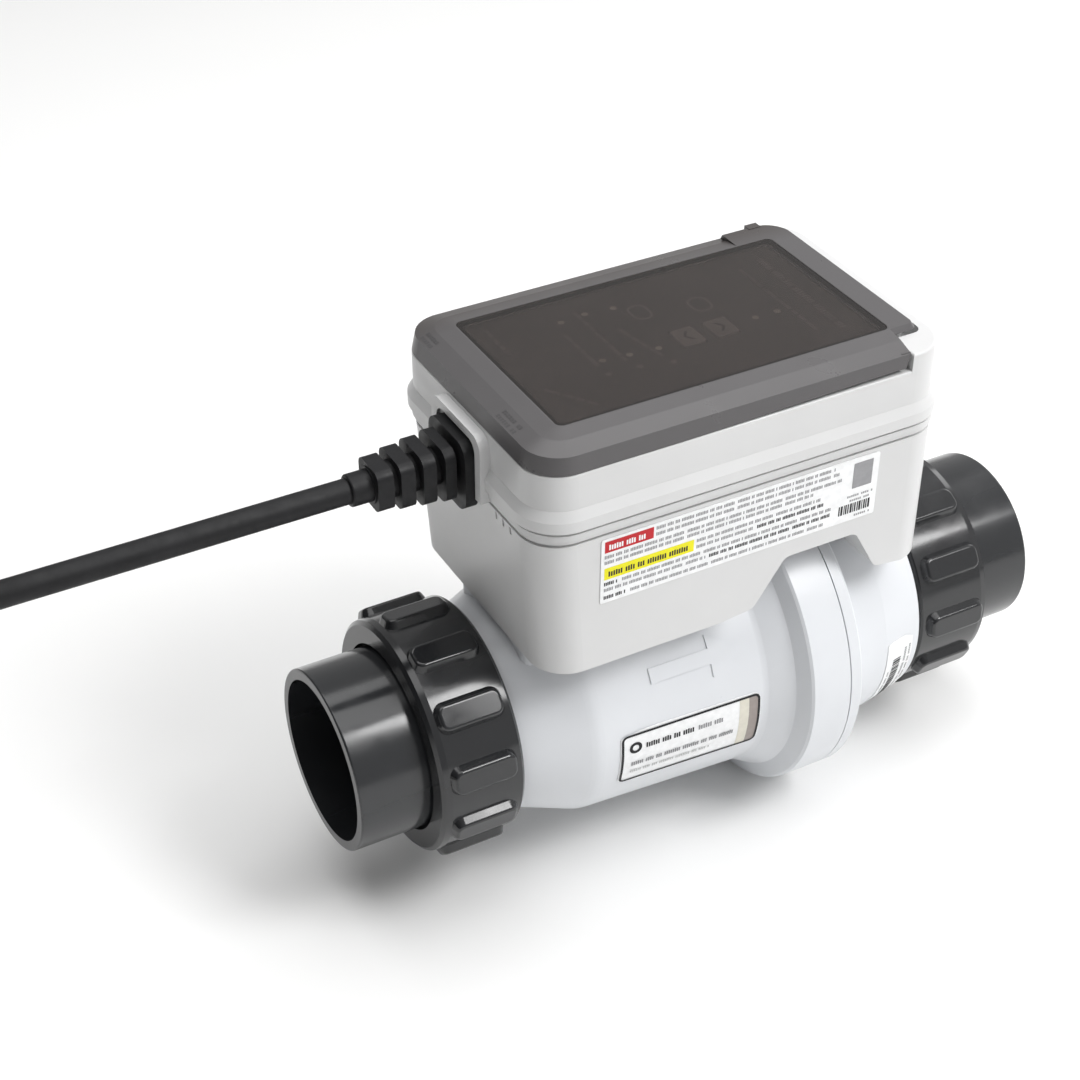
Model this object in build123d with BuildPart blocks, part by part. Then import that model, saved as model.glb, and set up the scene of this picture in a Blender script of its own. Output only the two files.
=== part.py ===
"""Salt chlorine generator: an in-line electrolytic cell with its electronics box and cable.

Frame: origin at the centre of the inlet socket's mouth, +X along the flow to the outlet,
+Z up, -Y the side with the labels. Millimetres.
"""
from build123d import *
from math import cos, hypot, pi, radians, sin, sqrt, tan
import os

os.makedirs("parts", exist_ok=True)

# ---- driving dimensions -------------------------------------------------------------------

length = 291.5            # mouth to mouth
socket_r = 30.35          # slip socket for 60.3 mm pipe
tail_r = 34.3
water_r = 27.0            # passage past the socket's stop

nut_start = 27.0          # distances from the nearer mouth
nut_end = 59.4
collar_start = 33.2
stub_start = 39.2
shoulder = 60.8
nut_r = 44.3
nut_bore_r = 40.4
grip_r = 47.1
grip_count = 12
collar_r = 38.3
stub_r = 38.4
thread_pitch = 4.0
thread_crest = 1.6        # height of each thread over its root

barrel_start = 87.0
barrel_start_r = 48.5
barrel_end = 156.0
barrel_end_r = 51.6
wall = 4.5
flange_face = 165.8
flange_face_r = 57.0
flange_rim = 168.4
flange_r = 64.0
seam = 185.1
seam_gap = 0.5
flange_back = 191.0

case_x0 = 60.5            # upper case
case_x1 = 222.6
case_half = 52.0
case_corner = 14.5
case_floor = 47.0
case_split = 104.0
deck = 130.7
lid_edge = 137.2
lid_top = 140.3
case_wall = 3.0

cable_d = 9.0
cable_z = 112.0
ground = -flange_r        # what the object would lie on

case_mid = (case_x0 + case_x1) / 2
case_length = case_x1 - case_x0
names = []


def keep(piece, name):
    """Label a finished piece and write its file."""
    piece.part.label = name
    export_step(piece.part, f"parts/{name}.step")
    names.append((name, piece.part.volume))


def turned(outline, plane=Plane.XZ):
    """A ring turned about the pipe's axis from (distance, radius) points."""
    with BuildPart() as piece:
        with BuildSketch(plane):
            with BuildLine():
                Polyline(*outline, close=True)
            make_face()
        revolve(axis=Axis.X)
    return piece


def barrel_r(x):
    """The inlet body's outer radius along its barrel."""
    slope = (barrel_end_r - barrel_start_r) / (barrel_end - barrel_start)
    return barrel_start_r + slope * (x - barrel_start)


def side_plane(x, angle, radius=0.0):
    """Tangent plane at an angle above the label side's horizontal, normal outwards."""
    a = radians(angle)
    out = (0, -cos(a), sin(a))
    return Plane(origin=(x, out[1] * radius, out[2] * radius), x_dir=(1, 0, 0), z_dir=out)


def slab(x0, x1, y0, y1, z0, z1, mode=Mode.ADD):
    """An upright block between two corners."""
    with Locations(((x0 + x1) / 2, (y0 + y1) / 2, (z0 + z1) / 2)):
        Box(x1 - x0, y1 - y0, z1 - z0, mode=mode)


def rounded(x0, x1, half, corner, z0, z1, mode=Mode.ADD):
    """An upright rounded block, symmetric about the pipe's axis plane."""
    with BuildSketch(Plane.XY.offset(z0)) as outline:
        with Locations(((x0 + x1) / 2, 0)):
            RectangleRounded(x1 - x0, 2 * half, corner)
    extrude(outline.sketch, amount=z1 - z0, mode=mode)


def circles_at(piece, radius):
    """The circular edges of one radius."""
    return piece.edges().filter_by(GeomType.CIRCLE).filter_by(lambda e: abs(e.radius - radius) < 0.01)


# ---- pipe unions ----------------------------------------------------------------------------

mouths = {
    "inlet": Plane(origin=(0, 0, 0), x_dir=(1, 0, 0), z_dir=(0, -1, 0)),
    "outlet": Plane(origin=(length, 0, 0), x_dir=(-1, 0, 0), z_dir=(0, 1, 0)),
}


def thread(plane, start, turns, radius, half_root, half_crest, height):
    """A right-hand helical ridge; a negative height points inwards."""
    into = plane.x_dir
    origin = plane.origin + into * start
    with BuildPart() as ridge:
        with BuildLine():
            path = Helix(thread_pitch, turns * thread_pitch, radius, center=origin, direction=into)
        with BuildSketch(Plane(origin=path @ 0, x_dir=into, z_dir=path % 0)) as section:
            outward = section.workplanes[0].y_dir.dot((path @ 0) - origin) > 0
            rise = height if outward else -height
            sink = -0.3 if rise > 0 else 0.3
            with BuildLine():
                Polyline((-half_root, sink), (half_root, sink), (half_crest, rise), (-half_crest, rise), close=True)
            make_face()
        sweep(is_frenet=True)
    return ridge.part


def make_tailpiece(side):
    plane = mouths[side]
    outline = [(0, socket_r), (0, tail_r), (collar_start, tail_r), (collar_start, collar_r),
               (stub_start - 0.2, collar_r), (stub_start - 0.2, water_r), (34.0, water_r), (34.0, socket_r)]
    piece = turned(outline, plane)
    with BuildPart() as tail:
        add(piece.part)
        fillet(circles_at(tail, tail_r).sort_by(lambda e: abs(e.center().X - plane.origin.X))[0], 0.7)
        fillet(circles_at(tail, collar_r), 0.5)
    keep(tail, f"{side}_tailpiece")


def grip_bar(plane):
    """One raised grip bar on top of the nut, with rounded ends and a soft top."""
    middle = plane.origin + plane.x_dir * 43.4
    base = Plane(origin=middle + Vector(0, 0, nut_r - 1.2), x_dir=(1, 0, 0), z_dir=(0, 0, 1))
    with BuildPart() as bar:
        with BuildSketch(base):
            RectangleRounded(27.0, 12.4, 4.6)
        extrude(amount=grip_r - nut_r + 1.2, taper=24)
        fillet(bar.faces().sort_by(Axis.Z)[-1].edges(), 1.4)
    return bar.part


def make_union_nut(side, phase):
    plane = mouths[side]
    outline = [(nut_start, tail_r + 1.3), (nut_start, nut_r - 1.9), (nut_start + 1.2, nut_r - 0.4),
               (nut_start + 3.5, nut_r), (nut_end - 1.2, nut_r), (nut_end, nut_r - 1.2),
               (nut_end, nut_bore_r + 0.6), (nut_end - 0.6, nut_bore_r),
               (collar_start - 0.2, nut_bore_r), (collar_start - 0.2, tail_r + 1.3)]
    piece = turned(outline, plane)
    bar = grip_bar(plane)
    with BuildPart() as nut:
        add(piece.part)
        for i in range(grip_count):
            add(bar.rotate(Axis.X, phase + i * 360 / grip_count))
        add(thread(plane, stub_start + 2.0 + thread_pitch / 2, 3.4, nut_bore_r, 1.0, 0.5, -thread_crest))
    keep(nut, f"{side}_union_nut")


def make_union_oring(side):
    plane = mouths[side]
    with BuildPart() as ring:
        with BuildSketch(plane):
            with Locations((stub_start + 1.0, 34.8)):
                Circle(1.15)
        revolve(axis=Axis.X)
    keep(ring, f"{side}_union_oring")


for side, phase in (("inlet", 17.0), ("outlet", -3.0)):
    make_tailpiece(side)
    make_union_nut(side, phase)
    make_union_oring(side)


# ---- cell body ------------------------------------------------------------------------------

post_x = (112.0, 132.0)   # electrode posts
sensor_x = 94.0
switch_x = 76.0
saddle_top = case_floor
screw_spots = ((74.0, 20.0), (74.0, -20.0), (92.0, 20.0), (92.0, -20.0))


def groove_for_oring(plane):
    """Square groove in a stub's end face."""
    ring = turned([(stub_start - 0.5, 33.4), (stub_start - 0.5, 36.2), (stub_start + 2.2, 36.2),
                   (stub_start + 2.2, 33.4)], plane)
    return ring.part


def make_inlet_housing():
    outer = turned([(stub_start, 0), (stub_start, stub_r), (shoulder, stub_r),
                    (barrel_start, barrel_start_r), (barrel_end, barrel_end_r),
                    (flange_face, flange_face_r), (flange_rim, flange_r - 0.9),
                    (flange_rim + 0.9, flange_r), (seam, flange_r), (seam, 0)])
    inner = turned([(stub_start - 1, 0), (stub_start - 1, 30.0), (57.0, 30.0),
                    (barrel_start + 2, barrel_start_r - wall - 0.3), (barrel_end, barrel_end_r - wall),
                    (seam + 1, barrel_end_r - wall), (seam + 1, 0)])
    with BuildPart() as arrow:
        with BuildSketch(side_plane(0, 31.5, 40)):
            with BuildLine():
                Polyline((110.5, -2.9), (135.0, -2.9), (135.0, -8.0), (146.5, 0), (135.0, 8.0),
                         (135.0, 2.9), (110.5, 2.9), close=True)
            make_face()
        extrude(amount=16)
        with BuildSketch(Plane.XZ):
            with BuildLine():
                Polyline((100, 30), (100, barrel_r(100) + 0.55), (150, barrel_r(150) + 0.55), (150, 30), close=True)
            make_face()
        revolve(axis=Axis.X, mode=Mode.INTERSECT)
    with BuildPart() as body:
        add(outer.part)
        fillet(circles_at(body, barrel_start_r), 16)
        fillet(circles_at(body, barrel_end_r), 5)
        add(thread(mouths["inlet"], stub_start + 2.0, 3.4, stub_r, 1.0, 0.5, thread_crest))
        rounded(69.0, 104.0, 26.0, 5.0, 20.0, saddle_top)
        add(arrow.part)
        add(inner.part, mode=Mode.SUBTRACT)
        add(groove_for_oring(mouths["inlet"]), mode=Mode.SUBTRACT)
        for x, r in ((post_x[0], 4.6), (post_x[1], 4.6), (sensor_x, 5.1), (switch_x, 5.1)):
            with Locations((x, 0, 40)):
                Cylinder(r, 40, mode=Mode.SUBTRACT)
        for x, y in screw_spots:
            with Locations((x, y, saddle_top)):
                Cylinder(1.5, 5.6, align=(Align.CENTER, Align.CENTER, Align.MAX), mode=Mode.SUBTRACT)
    keep(body, "inlet_housing")


def make_outlet_housing():
    face = seam + seam_gap
    end = length - shoulder
    stub_end = length - stub_start
    outer = turned([(face, 0), (face, flange_r), (flange_back - 1.2, flange_r), (flange_back, flange_r - 1.2),
                    (flange_back, 51.4), (212.0, 49.5), (end, 45.6), (end, stub_r), (stub_end, stub_r),
                    (stub_end, 0)])
    inner = turned([(face - 1, 0), (face - 1, barrel_end_r - wall), (200.0, barrel_end_r - wall),
                    (end + 3, 30.0), (stub_end + 1, 30.0), (stub_end + 1, 0)])
    with BuildPart() as body:
        add(outer.part)
        fillet(circles_at(body, 51.4), 4)
        fillet(circles_at(body, 45.6), 1.5)
        add(thread(mouths["outlet"], stub_start + 2.0, 3.4, stub_r, 1.0, 0.5, thread_crest))
        add(inner.part, mode=Mode.SUBTRACT)
        add(groove_for_oring(mouths["outlet"]), mode=Mode.SUBTRACT)
    keep(body, "outlet_housing")


def make_weld_seam():
    inner_r = barrel_end_r - wall
    ring = turned([(seam, inner_r), (seam, flange_r - 0.7), (seam + seam_gap, flange_r - 0.7),
                   (seam + seam_gap, inner_r)])
    keep(ring, "flange_weld_ring")


make_inlet_housing()
make_outlet_housing()
make_weld_seam()


# ---- labels on the pipe ---------------------------------------------------------------------

def wrapped_label(name, x0, x1, angle0, angle1, r0, r1, corner):
    """A thin printed plate that follows the body from x0, r0 to x1, r1."""
    middle = (angle0 + angle1) / 2
    half = radians(angle1 - angle0) / 2
    width = 2 * max(r0, r1) * sin(half)
    with BuildPart() as label:
        with BuildSketch(side_plane((x0 + x1) / 2, middle, max(r0, r1) * cos(half) - 2)):
            RectangleRounded(x1 - x0, width, corner)
        extrude(amount=20)
        with BuildSketch(Plane.XZ):
            with BuildLine():
                Polyline((x0 - 1, r0 + 0.02), (x0 - 1, r0 + 0.34), (x1 + 1, r1 + 0.34), (x1 + 1, r1 + 0.02),
                         close=True)
            make_face()
        revolve(axis=Axis.X, mode=Mode.INTERSECT)
    keep(label, name)


wrapped_label("name_label", 95.4, 153.6, -18.4, 9.6, barrel_r(94.4), barrel_r(154.6), 3.2)


def outlet_r(x):
    return 49.5 + (45.6 - 49.5) * (x - 212.0) / (length - shoulder - 212.0)


wrapped_label("serial_label", 213.0, 226.5, -44.0, 6.0, outlet_r(212.0), outlet_r(227.5), 1.0)


# ---- inside the cell ------------------------------------------------------------------------

blade_count = 9
blade_gap = 6.0
blade_x = (103.0, 150.0)
blade_half = 27.0
blade_t = 1.0
bore_r = barrel_end_r - wall


def blade_y(i):
    return (i - (blade_count - 1) / 2) * blade_gap


def make_blades():
    with BuildPart() as blades:
        for i in range(blade_count):
            y = blade_y(i)
            slab(blade_x[0], blade_x[1], y - blade_t / 2, y + blade_t / 2, -blade_half, blade_half)
    keep(blades, "electrode_blades")


def make_rack(name, x, grip):
    """A ring with two slotted combs that holds the blades' ends."""
    ring_r = barrel_r(x - 3) - wall - 0.5
    with BuildPart() as rack:
        with BuildSketch(Plane.YZ.offset(x - 3)):
            Circle(ring_r)
            Circle(ring_r - 4, mode=Mode.SUBTRACT)
            with Locations((0, 16), (0, -16)):
                Rectangle(2 * sqrt((ring_r - 2) ** 2 - 16 ** 2), 5)
        extrude(amount=6)
        for i in range(blade_count):
            y = blade_y(i)
            slab(*grip, y - blade_t / 2, y + blade_t / 2, -blade_half, blade_half, mode=Mode.SUBTRACT)
    keep(rack, name)


make_blades()
make_rack("electrode_rack_inlet", 103.0, (103.0, 120.0))
make_rack("electrode_rack_outlet", 150.0, (130.0, 150.0))


def make_posts():
    """The two current posts, each with the bus bar that crosses its own blades."""
    with BuildPart() as posts:
        for k, x in enumerate(post_x):
            z0 = blade_half
            for i in range(k, blade_count, 2):
                slab(x - 3, x + 3, blade_y(i) - blade_t / 2, blade_y(i) + blade_t / 2, z0, z0 + 3)
            slab(x - 3, x + 3, blade_y(0) - 1, blade_y(blade_count - 1) + 1, z0 + 3, z0 + 5)
            with Locations((x, 0, z0 + 5)):
                Cylinder(2.5, 35, align=(Align.CENTER, Align.CENTER, Align.MIN))
    keep(posts, "electrode_posts")


def make_post_seals():
    """Flanged bushings that bring the posts through the body's wall."""
    with BuildPart() as seals:
        for x in post_x:
            top = barrel_r(x) + 0.6
            with Locations((x, 0, top)):
                Cylinder(4.55, top - 42.0, align=(Align.CENTER, Align.CENTER, Align.MAX))
                Cylinder(6.75, 1.6, align=(Align.CENTER, Align.CENTER, Align.MIN))
            with Locations((x, 0, top)):
                Cylinder(2.5, 60, mode=Mode.SUBTRACT)
    keep(seals, "post_seals")


def make_post_nuts():
    with BuildPart() as nuts:
        for x in post_x:
            with BuildSketch(Plane.XY.offset(barrel_r(x) + 2.2)):
                with Locations((x, 0)):
                    RegularPolygon(4.3, 6)
                    Circle(2.5, mode=Mode.SUBTRACT)
            extrude(amount=3.2)
    keep(nuts, "post_nuts")


def make_sensor():
    """Temperature probe: a closed metal sleeve with a threaded collar."""
    with BuildPart() as probe:
        with Locations((sensor_x, 0, 26.0)):
            Cylinder(2.6, 30.0, align=(Align.CENTER, Align.CENTER, Align.MIN))
        with Locations((sensor_x, 0, 44.0)):
            Cylinder(5.0, 10.0, align=(Align.CENTER, Align.CENTER, Align.MIN))
        fillet(probe.faces().sort_by(Axis.Z)[0].edges(), 2.0)
    keep(probe, "temperature_sensor")


paddle_pivot = (switch_x, 24.0)


def make_flow_switch():
    """The fixed stem with its fork, the paddle that swings in it, and the pin."""
    px, pz = paddle_pivot
    with BuildPart() as stem:
        with Locations((switch_x, 0, pz + 6)):
            Cylinder(5.0, 54.0 - pz - 6, align=(Align.CENTER, Align.CENTER, Align.MIN))
        slab(px - 3.5, px + 3.5, -3.5, -1.7, pz - 3.5, pz + 6.5)
        slab(px - 3.5, px + 3.5, 1.7, 3.5, pz - 3.5, pz + 6.5)
        with Locations(Plane(origin=(px, 0, pz), z_dir=(0, 1, 0))):
            Cylinder(1.0, 10, mode=Mode.SUBTRACT)
    keep(stem, "flow_switch_stem")
    with BuildPart() as paddle:
        slab(px - 1.0, px + 1.0, -1.35, 1.35, pz - 12.0, pz)
        with Locations(Plane(origin=(px, 0, pz), z_dir=(0, 1, 0))):
            Cylinder(2.4, 2.7)
        with BuildSketch(Plane.YZ.offset(px - 0.8)):
            with Locations((0, pz - 21.0)):
                RectangleRounded(17.0, 20.0, 5.0)
        extrude(amount=1.6)
        with Locations(Plane(origin=(px, 0, pz), z_dir=(0, 1, 0))):
            Cylinder(1.05, 10, mode=Mode.SUBTRACT)
    keep(paddle, "flow_paddle")
    with BuildPart() as pin:
        with Locations(Plane(origin=(px, 0, pz), z_dir=(0, 1, 0))):
            Cylinder(1.0, 7.0)
    keep(pin, "paddle_pin")


make_posts()
make_post_seals()
make_post_nuts()
make_sensor()
make_flow_switch()


# ---- electronics box: lower case ------------------------------------------------------------

low_top = (60.7, 51.0)        # inlet end and half width at the rim, and at the floor
low_bottom = (64.8, 50.4)
low_x1 = 224.7
low_corner = 14.0
arch_top = 67.0


def case_body(inset, z0, z1):
    """The tapering outer form of the lower case, or a smaller one inside it."""
    with BuildPart() as form:
        for z in (z0, z1):
            up = (z - case_floor) / (case_split - case_floor)
            x0 = low_bottom[0] + (low_top[0] - low_bottom[0]) * up
            half = low_bottom[1] + (low_top[1] - low_bottom[1]) * up
            with BuildSketch(Plane.XY.offset(z)):
                with Locations(((x0 + low_x1) / 2, 0)):
                    RectangleRounded(low_x1 - x0 - 2 * inset, 2 * (half - inset), low_corner - inset)
        loft()
    return form.part


def arch(grow, half):
    """The space over the flange, cut through the box from side to side."""
    x0, x1 = 141.0 - grow, 206.0 + grow
    top0, top1 = 160.0 - grow, 190.0 + grow
    z0, z1 = case_floor - 10.0, arch_top + grow
    foot0 = x0 + (top0 - x0) * 0.35
    foot1 = x1 - (x1 - top1) * 0.35
    with BuildPart() as cut:
        with BuildSketch(Plane.XZ.offset(-half)):
            with BuildLine():
                FilletPolyline((x0 - 8.0, z0), (x0 - 8.0, case_floor - 0.01), (foot0, case_floor - 0.01 + 1.5),
                               (top0, z1), (top1, z1), (foot1, case_floor - 0.01 + 1.5),
                               (x1 + 8.0, case_floor - 0.01), (x1 + 8.0, z0), radius=4.0)
                Line((x1 + 8.0, z0), (x0 - 8.0, z0))
            make_face()
        extrude(amount=2 * half)
    return cut.part


def body_space(gap):
    """The cell body's outer form, grown by a gap."""
    return turned([(50, 0), (50, stub_r + gap), (shoulder, stub_r + gap), (barrel_start, barrel_start_r + gap),
                   (230, barrel_r(230) + gap), (230, 0)]).part


def make_lower_case():
    outer = case_body(0, case_floor, case_split)
    cavity = case_body(case_wall, case_floor + case_wall, case_split + 0.01)
    with BuildPart() as hollow:
        add(cavity)
        add(arch(case_wall, 60), mode=Mode.SUBTRACT)
        add(body_space(case_wall + 0.3), mode=Mode.SUBTRACT)
    with BuildPart() as shell:
        add(outer)
        add(arch(0, 60), mode=Mode.SUBTRACT)
        add(body_space(0.3), mode=Mode.SUBTRACT)
        add(hollow.part, mode=Mode.SUBTRACT)
        for x, y in corner_spots:
            with Locations((x, y, case_split)):
                Cylinder(4.2, 24.0, align=(Align.CENTER, Align.CENTER, Align.MAX))
                Cylinder(1.45, 18.0, align=(Align.CENTER, Align.CENTER, Align.MAX), mode=Mode.SUBTRACT)
        for x, r in ((post_x[0], 7.2), (post_x[1], 7.2), (sensor_x, 5.2), (switch_x, 5.2)):
            with Locations((x, 0, case_floor)):
                Cylinder(r, 40, mode=Mode.SUBTRACT)
        for x, y in board_spots:
            slab(x - 3.5, x + 3.5, y - 3.5, y + 3.5, 80.0, board_z)
        for x, y in screw_spots:
            with Locations((x, y, case_floor)):
                Cylinder(1.8, 20, mode=Mode.SUBTRACT)
        add(rim_ring(1.5, 2.5, gasket_z, case_split + 1), mode=Mode.SUBTRACT)
        add(rim_ring(-3.0, 1.0, case_split - 1.8, case_split + 1), mode=Mode.SUBTRACT)
        for i in range(3):
            with Locations((low_top[0], -21.0 - 5.0 * i, 100.2)):
                Box(2.0, 1.3, 3.0, mode=Mode.SUBTRACT)
    keep(shell, "lower_case")


def rim_ring(outer, inner, z0, z1):
    """A band along the case's rim, between two insets from its outside."""
    x0, half = low_top
    with BuildPart() as ring:
        for inset, mode in ((outer, Mode.ADD), (inner, Mode.SUBTRACT)):
            rounded(x0 + inset, low_x1 - inset, half - inset, low_corner - inset, z0, z1, mode=mode)
    return ring.part


gasket_z = case_split - 0.9
corner_spots = ((69.5, 42.5), (69.5, -42.5), (196.0, 44.5), (196.0, -44.5))
board_z = 96.0
board_spots = ((90.0, 45.0), (90.0, -45.0), (178.0, 45.0), (178.0, -45.0))
make_lower_case()


# ---- electronics box: upper case --------------------------------------------------------------

block_x0 = 206.0          # the raised end that carries the lid's hinge
hinge_x = 212.5
hinge_z = 135.4
pin_r = 1.25
ear_r = 2.4
trough_floor = 130.6
ears = ((-33.0, -26.0), (-9.0, 9.0), (26.0, 33.0))
gland_half = 7.0
hood_x = 56.7             # front of the raised hood round the cable gland
gland_seat = 58.0         # floor of the hood's recess


def hood_block(half, top, corner, x0, x1, foot):
    """A block on the inlet end of the case, rounded at its upper corners."""
    with BuildPart() as block:
        with BuildSketch(Plane.YZ.offset(x0)):
            with Locations((0, top - 20)):
                RectangleRounded(2 * half, 40, corner)
        extrude(amount=x1 - x0)
        slab(x0 - 1, x1 + 1, -30, 30, top - 50, foot, mode=Mode.SUBTRACT)
    return block.part


def overhang(x0, x1, front, back, corner, z0, z1, taper=0):
    """A block at the hinge end with a small corner in front and a large one behind."""
    with BuildPart() as block:
        with BuildSketch(Plane.XY.offset(z0)):
            with BuildLine():
                FilletPolyline((170, front), (x1, front), (x1, back), (170, back), radius=[3.4, corner])
                Line((170, back), (170, front))
            make_face()
        extrude(amount=z1 - z0, taper=taper)
        slab(160, x0, -80, 80, z0 - 1, z1 + 1, mode=Mode.SUBTRACT)
    return block.part


def make_upper_case():
    with BuildPart() as shell:
        rounded(case_x0, case_x1, case_half, case_corner, case_split, deck)
        fillet(shell.faces().sort_by(Axis.Z)[-1].edges(), 0.8)
        rounded(case_x0, case_x1 + 1.6, case_half, case_corner, case_split, 109.8)
        rounded(case_x0 - 0.7, case_x1 + 2.1, case_half + 0.7, case_corner + 0.7, 105.6, 107.8)
        with BuildSketch(Plane.XY.offset(109.6)):
            with Locations((case_mid, 0)):
                RectangleRounded(case_length + 4.2, 2 * case_half + 4.2, case_corner + 2.1)
        extrude(amount=7.6)
        lip = shell.edges().filter_by(lambda e: abs(e.center().Z - 117.2) < 0.01).group_by(Axis.Z)[-1]
        outside = [e for e in lip if abs(e.center().Y) > case_half + 1 or e.center().X < case_x0 - 1
                   or e.center().X > case_x1 + 1 or hypot(e.center().X - case_mid, e.center().Y) > 92]
        chamfer(outside, 3.4, 2.05)
        rounded(case_x0 + case_wall, case_x1 - case_wall, case_half - case_wall, case_corner - case_wall,
                case_split, deck - case_wall, mode=Mode.SUBTRACT)
        with BuildSketch(Plane.XY.offset(deck - 2)) as raised:
            with Locations((case_mid, 0)):
                RectangleRounded(case_length, 2 * case_half, case_corner)
            with Locations((block_x0 - 100, 0)):
                Rectangle(200, 200, mode=Mode.SUBTRACT)
        extrude(raised.sketch, amount=lid_edge - 0.1 - deck + 2)
        fillet(shell.faces().sort_by(Axis.Z)[-1].edges(), 0.8)
        add(overhang(207.3, 218.7, -39.6, 48.2, 6.0, trough_floor, 140), mode=Mode.SUBTRACT)
        for y0, y1 in ears:
            slab(hinge_x - ear_r, hinge_x + ear_r, y0, y1, trough_floor, hinge_z)
            with Locations(Plane(origin=(hinge_x, (y0 + y1) / 2, hinge_z), z_dir=(0, 1, 0))):
                Cylinder(ear_r, y1 - y0)
        with Locations(Plane(origin=(hinge_x, 0, hinge_z), z_dir=(0, 1, 0))):
            Cylinder(pin_r, 2 * ears[-1][1] + 0.2, mode=Mode.SUBTRACT)
        add(hood_block(18.0, 129.3, 5.5, hood_x, case_x0 + 1, case_split))
        add(hood_block(14.2, 126.2, 4.6, hood_x - 1, gland_seat, case_split - 1), mode=Mode.SUBTRACT)
        slab(hood_x - 1, case_x0 + 5, -gland_half, gland_half, cable_z - gland_half, cable_z + gland_half,
             mode=Mode.SUBTRACT)
        for x, y in corner_spots:
            with Locations((x, y, (case_split + deck) / 2 - 1)):
                Cylinder(4.0, deck - case_split - 2)
            with Locations((x, y, (case_split + deck) / 2)):
                Cylinder(1.8, 60, mode=Mode.SUBTRACT)
            with Locations((x, y, deck - 3.2)):
                Cylinder(3.4, 20, align=(Align.CENTER, Align.CENTER, Align.MIN), mode=Mode.SUBTRACT)
    keep(shell, "upper_case")


make_upper_case()


def make_case_gasket():
    with BuildPart() as gasket:
        add(rim_ring(1.5, 2.5, gasket_z, case_split))
    keep(gasket, "case_gasket")


def make_screws(name, spots, seat, head_r, head_h, shank_r, shank):
    """Round-headed screws with a cross slot, head up."""
    with BuildPart() as screws:
        for x, y in spots:
            with Locations((x, y, seat)):
                Cylinder(head_r, head_h, align=(Align.CENTER, Align.CENTER, Align.MIN))
                Cylinder(shank_r, shank, align=(Align.CENTER, Align.CENTER, Align.MAX))
        for x, y in spots:
            for wide, deep in ((0.9, 3.6), (3.6, 0.9)):
                slab(x - wide / 2, x + wide / 2, y - deep / 2, y + deep / 2, seat + head_h - 1.1, seat + 9,
                     mode=Mode.SUBTRACT)
    keep(screws, name)


make_case_gasket()
make_screws("case_screws", corner_spots, deck - 3.2, 3.1, 2.4, 1.4, 40.0)
make_screws("saddle_screws", screw_spots, case_floor + case_wall, 3.1, 2.2, 1.4, 8.0)


# ---- electronics ------------------------------------------------------------------------------

board_t = 1.6


def make_circuit_board():
    with BuildPart() as board:
        slab(75.0, 208.0, -46.0, 46.0, board_z, board_z + board_t)
        for x, y in corner_spots:
            with Locations((x, y, board_z)):
                Cylinder(8.0, 10, mode=Mode.SUBTRACT)
        slab(100.0, 124.0, -9.0, 9.0, board_z - 1, board_z + 3, mode=Mode.SUBTRACT)
    keep(board, "circuit_board")


def make_board_parts():
    """What stands on the board: transformer, relays, capacitors, heat sink and terminal strip."""
    top = board_z + board_t
    with BuildPart() as parts:
        slab(160.0, 196.0, -18.0, 14.0, top, top + 24.0)
        slab(164.0, 192.0, -24.0, 20.0, top + 5.0, top + 19.0)
        for y in (24.0, 34.0):
            slab(128.0, 147.0, y - 4.0, y + 4.0, top, top + 15.0)
        for x, y in ((134.0, -30.0), (148.0, -30.0), (134.0, -16.0)):
            with Locations((x, y, top)):
                Cylinder(6.0, 20.0, align=(Align.CENTER, Align.CENTER, Align.MIN))
        for i in range(6):
            slab(94.0, 118.0, -38.0 + 3.2 * i, -36.6 + 3.2 * i, top + 2.0, top + 18.0)
        slab(94.0, 118.0, -38.0, -20.6, top, top + 2.0)
        for i in range(4):
            slab(82.0, 90.0, -14.0 + 8.0 * i, -7.0 + 8.0 * i, top, top + 9.0)
    keep(parts, "board_parts")


def make_power_leads():
    """Two insulated leads from the electrode posts up through the board."""
    with BuildPart() as leads:
        for x, y in ((post_x[0], -4.0), (post_x[1] - 12.0, 4.0)):
            start = 112.0 if y < 0 else 132.0
            with BuildLine() as line:
                path = FilletPolyline((start, 0, 67.0), (start, 0, 76.0), (x, y, 84.0), (x, y, 108.0), radius=5.0)
            with BuildSketch(Plane(origin=path @ 0, z_dir=path % 0)) as section:
                Circle(2.2)
            sweep(section.sketch, path=line.line)
    keep(leads, "power_leads")


make_circuit_board()
make_board_parts()
make_power_leads()


# ---- control panel under the lid --------------------------------------------------------------

panel = (76.6, 204.6, 37.2)      # x range and half width
panel_top = 137.2
key_size = (9.0, 11.4)
keys = {"less": 144.1, "more": 157.6}
key_y = -5.5
key_top = 137.6
lights = ((110.5, -5.0), (120.5, -6.0), (131.5, -7.0), (110.5, 24.0), (120.5, 25.0), (131.5, 24.0),
          (172.0, -5.5), (181.0, -5.5))


def make_control_panel():
    x0, x1, half = panel
    with BuildPart() as fascia:
        rounded(x0, x1, half, 3.0, deck, panel_top)
        rounded(x0 + 2, x1 - 2, half - 2, 1.5, deck - 1, panel_top - 2, mode=Mode.SUBTRACT)
        for x in keys.values():
            slab(x - key_size[0] / 2 - 0.3, x + key_size[0] / 2 + 0.3, key_y - key_size[1] / 2 - 0.3,
                 key_y + key_size[1] / 2 + 0.3, deck, panel_top + 1, mode=Mode.SUBTRACT)
        for x, y in lights:
            with Locations((x, y, panel_top)):
                Cylinder(1.3, 10, mode=Mode.SUBTRACT)
    keep(fascia, "control_panel")


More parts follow.
